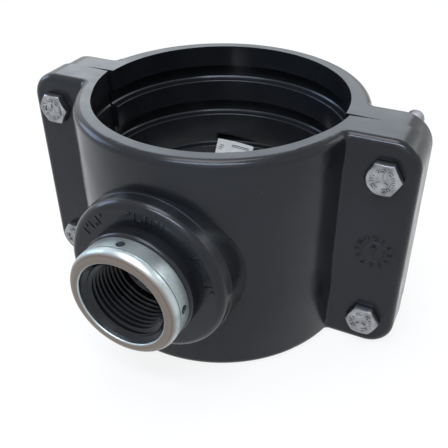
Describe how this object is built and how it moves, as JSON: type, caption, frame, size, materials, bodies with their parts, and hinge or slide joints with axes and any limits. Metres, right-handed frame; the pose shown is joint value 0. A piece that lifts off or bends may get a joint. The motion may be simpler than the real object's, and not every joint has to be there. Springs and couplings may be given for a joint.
{
  "type": "tapping saddle",
  "caption": "Bolted two-piece plastic tapping saddle that clamps round a pressure pipe and gives it a steel-ringed female threaded side outlet.",
  "frame": {"origin": "where the outlet axis crosses the pipe axis, at mid length of the saddle", "axes": "+Z along the pipe, outlet pointing to -Y, bolted flanges towards +X and -X; the part stands on its -Z end"},
  "size_m": [0.179, 0.1498, 0.1016],
  "materials": {
    "saddle_pvc": "moulded grey PVC-U, semi-gloss",
    "strap_pvc": "moulded grey PVC-U, semi-gloss",
    "ring_steel": "bright pressed stainless steel",
    "gasket_rubber": "matt black rubber",
    "bolt_zinc": "bright zinc plate on cold-headed steel",
    "washer_zinc": "bright zinc plate on stamped steel",
    "nut_zinc": "bright zinc plate on steel"
  },
  "bodies": {
    "saddle": {"saddle_half": "saddle_pvc", "reinforcing_ring": "ring_steel", "outlet_gasket": "gasket_rubber", "bolt_left_upper": "bolt_zinc", "bolt_left_lower": "bolt_zinc", "bolt_right_upper": "bolt_zinc", "bolt_right_lower": "bolt_zinc"},
    "strap": {"strap_half": "strap_pvc", "washer_left_upper": "washer_zinc", "washer_left_lower": "washer_zinc", "washer_right_upper": "washer_zinc", "washer_right_lower": "washer_zinc"},
    "nut_left_upper": {"nut_left_upper": "nut_zinc"},
    "nut_left_lower": {"nut_left_lower": "nut_zinc"},
    "nut_right_upper": {"nut_right_upper": "nut_zinc"},
    "nut_right_lower": {"nut_right_lower": "nut_zinc"}
  },
  "joints": [
    {"name": "strap_slide", "type": "slide", "parent": "saddle", "child": "strap", "axis": [0, 1, 0], "range_m": [0, 0.017]},
    {"name": "nut_turn_left_upper", "type": "hinge", "parent": "strap", "child": "nut_left_upper", "pos_m": [-0.0765, 0.0156, 0.036], "axis": [0, 1, 0], "range_deg": [0, 4902]},
    {"name": "nut_turn_left_lower", "type": "hinge", "parent": "strap", "child": "nut_left_lower", "pos_m": [-0.0765, 0.0156, -0.036], "axis": [0, 1, 0], "range_deg": [0, 4902]},
    {"name": "nut_turn_right_upper", "type": "hinge", "parent": "strap", "child": "nut_right_upper", "pos_m": [0.0765, 0.0156, 0.036], "axis": [0, 1, 0], "range_deg": [0, 4902]},
    {"name": "nut_turn_right_lower", "type": "hinge", "parent": "strap", "child": "nut_right_lower", "pos_m": [0.0765, 0.0156, -0.036], "axis": [0, 1, 0], "range_deg": [0, 4902]}
  ],
  "couplings": [
    {"joint": "nut_turn_left_upper", "follows": "strap_slide", "rad_per_m": 5026.5},
    {"joint": "nut_turn_left_lower", "follows": "strap_slide", "rad_per_m": 5026.5},
    {"joint": "nut_turn_right_upper", "follows": "strap_slide", "rad_per_m": 5026.5},
    {"joint": "nut_turn_right_lower", "follows": "strap_slide", "rad_per_m": 5026.5}
  ]
}
